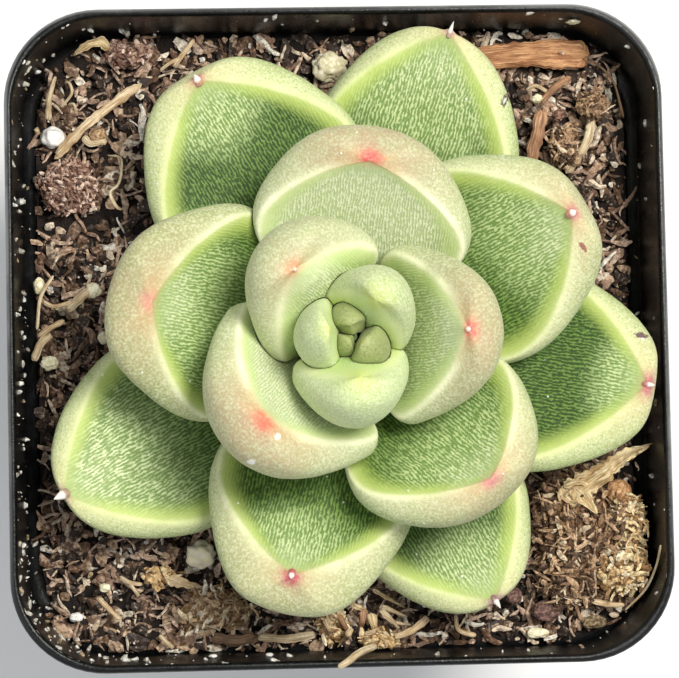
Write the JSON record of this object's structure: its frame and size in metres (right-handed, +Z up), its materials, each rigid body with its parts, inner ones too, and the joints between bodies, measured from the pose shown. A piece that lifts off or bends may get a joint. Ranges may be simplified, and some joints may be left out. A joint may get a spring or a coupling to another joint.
{
  "type": "potted rosette succulent",
  "caption": "Thick-leaved succulent rosette with pale ridged leaf edges and pointed tips, growing in potting mix in a square plastic nursery pot.",
  "frame": {"origin": "centre of the pot's underside, on the surface that it stands on", "axes": "+Z up, +X to the picture's right, +Y to the picture's top, square with the pot's sides"},
  "size_m": [0.056, 0.056, 0.0675],
  "materials": {
    "pot_plastic": "semi-gloss black",
    "potting_mix": "matt, coarse",
    "stem_bark": "matt",
    "mature_leaf": "waxy satin",
    "inner_leaf": "waxy satin",
    "bud_leaf": "waxy satin",
    "orange_wood": "matt",
    "coarse_bark": "matt",
    "pale_grain": "matt",
    "white_perlite": "matt, porous",
    "dry_straw": "matt"
  },
  "bodies": {
    "root": {"pot": "pot_plastic", "soil": "potting_mix", "stem": "stem_bark", "leaf_01": "mature_leaf", "leaf_02": "mature_leaf", "leaf_03": "mature_leaf", "leaf_04": "mature_leaf", "leaf_05": "mature_leaf", "leaf_06": "mature_leaf", "leaf_07": "mature_leaf", "leaf_08": "mature_leaf", "leaf_09": "mature_leaf", "leaf_10": "mature_leaf", "leaf_11": "inner_leaf", "leaf_12": "inner_leaf", "leaf_13": "inner_leaf", "leaf_14": "bud_leaf", "leaf_15": "bud_leaf", "leaf_16": "bud_leaf", "leaf_17": "bud_leaf", "leaf_18": "bud_leaf", "leaf_19": "bud_leaf", "wood_chip": "orange_wood", "bark_lump": "coarse_bark", "beige_lump": "pale_grain", "perlite_left": "white_perlite", "perlite_front": "white_perlite", "brown_lump": "coarse_bark", "straw_left": "dry_straw", "straw_right": "dry_straw", "straw_front": "dry_straw"}
  },
  "joints": []
}
